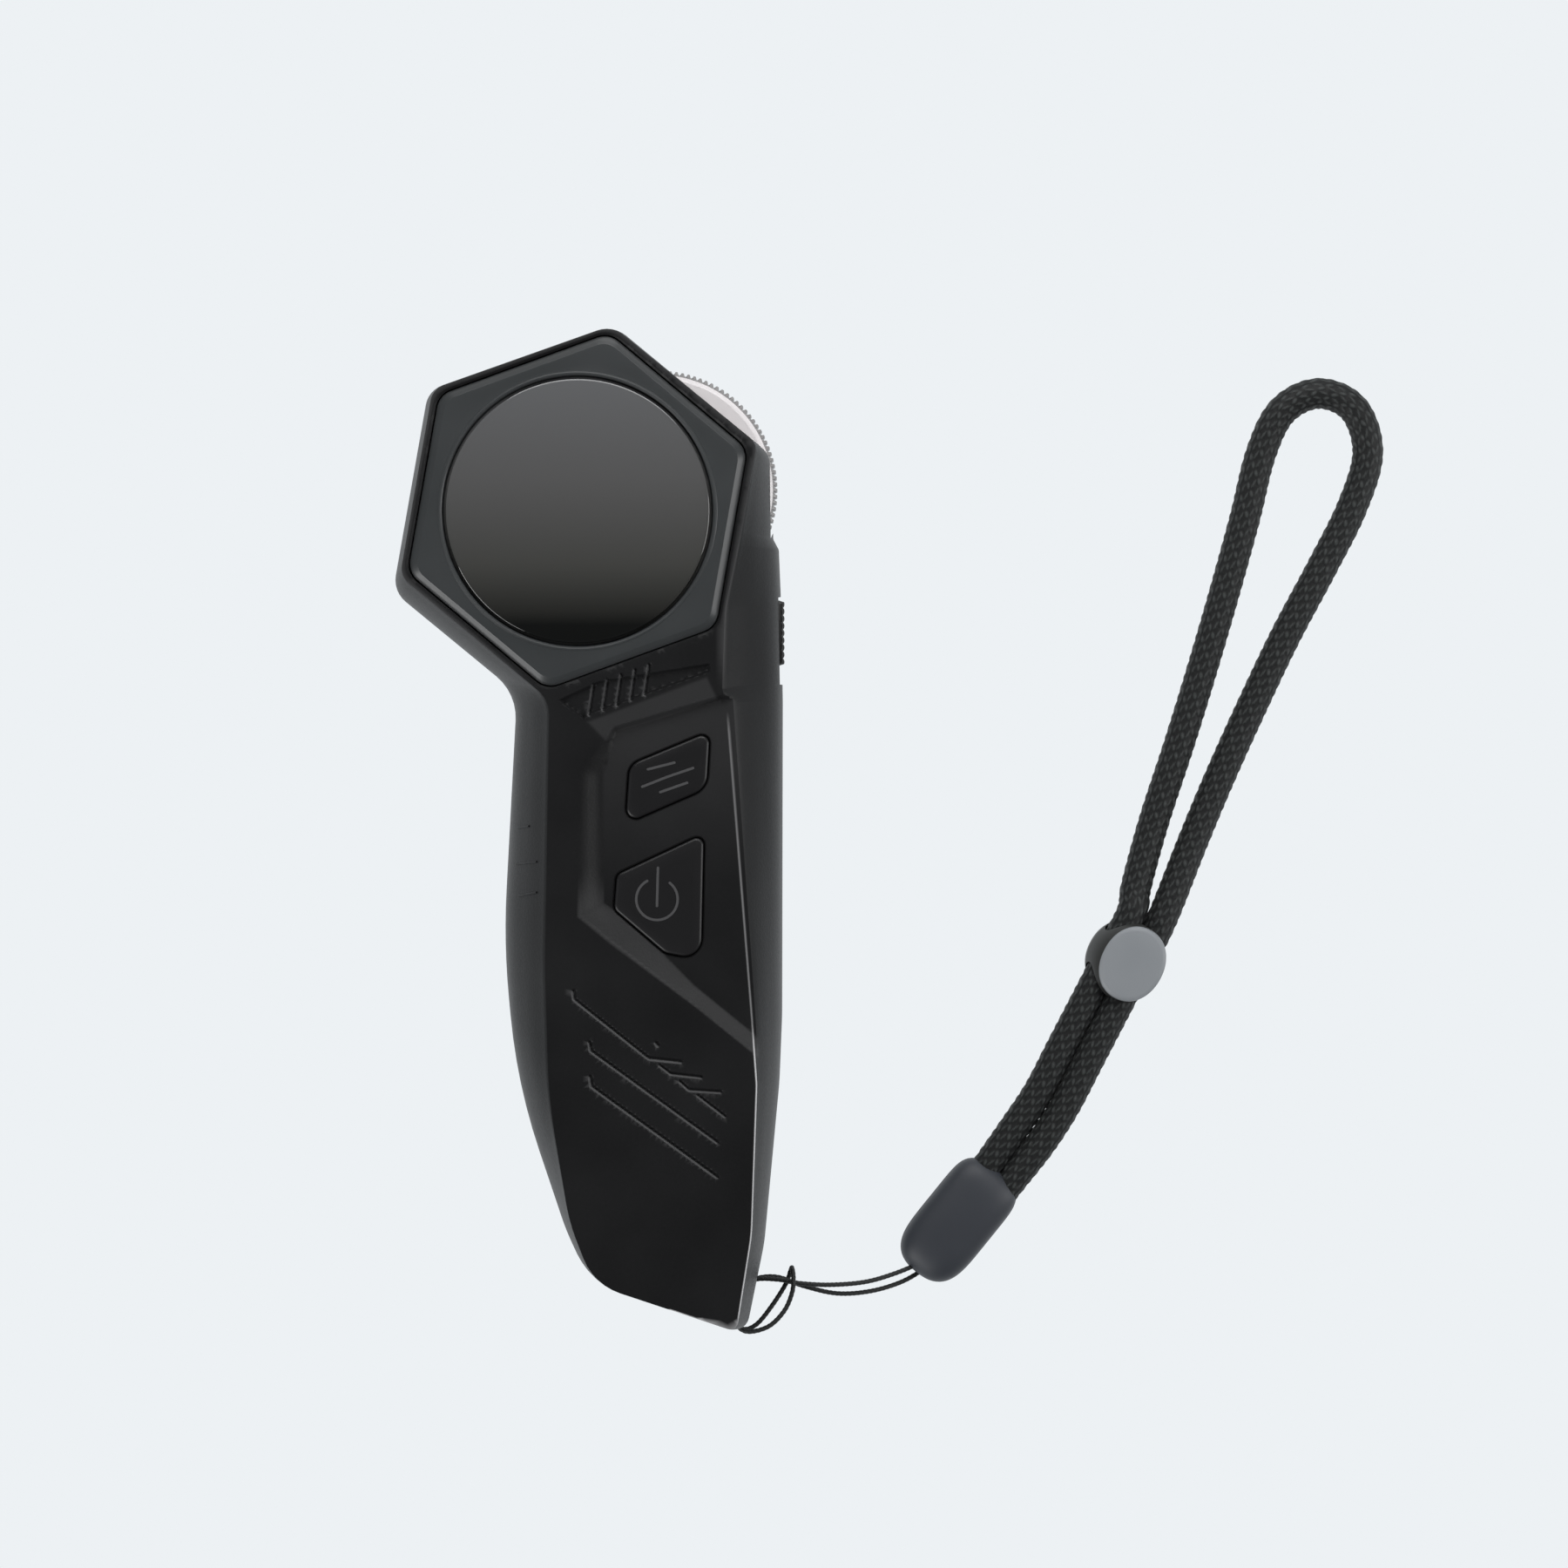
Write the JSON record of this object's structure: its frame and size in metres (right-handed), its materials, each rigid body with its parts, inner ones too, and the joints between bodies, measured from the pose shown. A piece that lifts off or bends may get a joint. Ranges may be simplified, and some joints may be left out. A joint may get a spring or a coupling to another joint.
{
  "type": "hand controller",
  "caption": "One-hand wireless hand controller: angled head with round display, thumb wheel, slide knob, two face keys, finger-shaped grip and a braided wrist cord.",
  "frame": {"origin": "bottom centre of the handset's box as it lies on its back, cords left out", "axes": "+Z out of the display face, +Y from the grip to the head, +X towards the thumb edge with the wheel and the slide knob"},
  "size_m": [0.1501, 0.1518, 0.034],
  "materials": {
    "shell_plastic": "fine spark-eroded grain",
    "bezel_plastic": "satin, slightly smoother than the shell",
    "window_glass": "gloss, dark back coating",
    "foam": "matt",
    "display_glass": "gloss",
    "flex": "satin",
    "circuit_board": "semi-gloss solder mask",
    "chip_black": "matt",
    "shield_tin": "tin plate",
    "key_plastic": "satin",
    "wheel_metal": "turned faces, knurled rim",
    "bush_brass": "turned",
    "steel": "plain",
    "cell_wrap": "shrink wrap",
    "wire": "insulation",
    "plug_plastic": "plain",
    "braided_cord": "tight round braid",
    "thin_cord": "fine twisted cord",
    "cap_rubber": "soft matt moulding",
    "lock_plastic": "satin grey face"
  },
  "bodies": {
    "handset": {"front_shell": "shell_plastic", "back_shell": "shell_plastic", "bezel_plate": "bezel_plastic", "display_window": "window_glass", "window_gasket": "foam", "battery_pads": "foam", "display_module": "display_glass", "display_ribbon": "flex", "antenna_strip": "flex", "main_board": "circuit_board", "wheel_board": "circuit_board", "control_chips": "chip_black", "mode_switch": "chip_black", "power_switch": "chip_black", "hall_sensor": "chip_black", "radio_module": "shield_tin", "slide_switch": "shield_tin", "charge_port": "shield_tin", "vibration_motor": "shield_tin", "thread_inserts": "bush_brass", "wheel_axle": "steel", "axle_clip": "steel", "wheel_spring": "steel", "case_screws": "steel", "board_screws": "steel", "battery_cell": "cell_wrap", "battery_lead": "wire", "battery_plug": "plug_plastic", "wrist_cord": "braided_cord", "loop_cord": "thin_cord", "end_cap": "cap_rubber"},
    "thumb_wheel": {"thumb_wheel": "wheel_metal", "wheel_bushes": "bush_brass", "wheel_magnet": "steel"},
    "slide_knob": {"slide_knob": "key_plastic", "slide_lever": "chip_black"},
    "mode_key": {"mode_key": "key_plastic"},
    "power_key": {"power_key": "key_plastic"},
    "cord_lock": {"cord_lock": "lock_plastic"}
  },
  "joints": [
    {"name": "wheel_turn", "type": "hinge", "parent": "handset", "child": "thumb_wheel", "pos_m": [0.00998, 0.05123, 0.017], "axis": [0, 0, 1], "range_deg": [-35, 35], "stiffness_Nm_per_rad": 0.03},
    {"name": "knob_slide", "type": "slide", "parent": "handset", "child": "slide_knob", "axis": [0, -1, 0], "range_m": [0, 0.0024]},
    {"name": "mode_press", "type": "slide", "parent": "handset", "child": "mode_key", "axis": [0, 0, -1], "range_m": [0, 0.0008], "stiffness_N_per_m": 900},
    {"name": "power_press", "type": "slide", "parent": "handset", "child": "power_key", "axis": [0, 0, -1], "range_m": [0, 0.0008], "stiffness_N_per_m": 900},
    {"name": "lock_slide", "type": "slide", "parent": "handset", "child": "cord_lock", "axis": [-0.4618, -0.887, 0], "range_m": [0, 0.015]}
  ]
}
